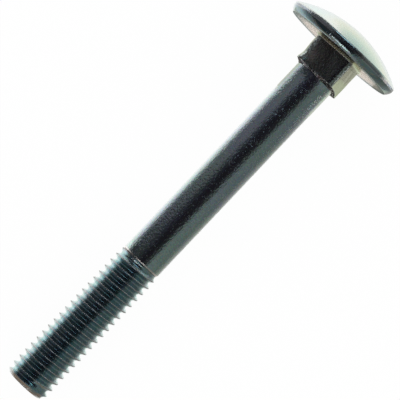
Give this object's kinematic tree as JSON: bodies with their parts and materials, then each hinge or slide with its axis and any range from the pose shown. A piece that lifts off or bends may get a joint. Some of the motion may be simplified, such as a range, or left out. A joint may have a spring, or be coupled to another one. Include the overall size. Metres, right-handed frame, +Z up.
{
  "type": "carriage bolt",
  "caption": "Carriage bolt with a domed round head, a square neck, a plain shank and a rolled right-hand metric thread, zinc plated.",
  "frame": {"origin": "on the surface that the bolt lies on, under the middle of its outline", "axes": "+Z up; the bolt lies along X with its head towards +X, its axis dropping 5.28 degrees towards the point because it rests on the edge of its head and on its first full thread"},
  "size_m": [0.059, 0.016, 0.016],
  "materials": {
    "zinc_plated_steel": "bright zinc plating with a blue-green passivation film"
  },
  "bodies": {
    "root": {"carriage_bolt": "zinc_plated_steel"}
  },
  "joints": []
}
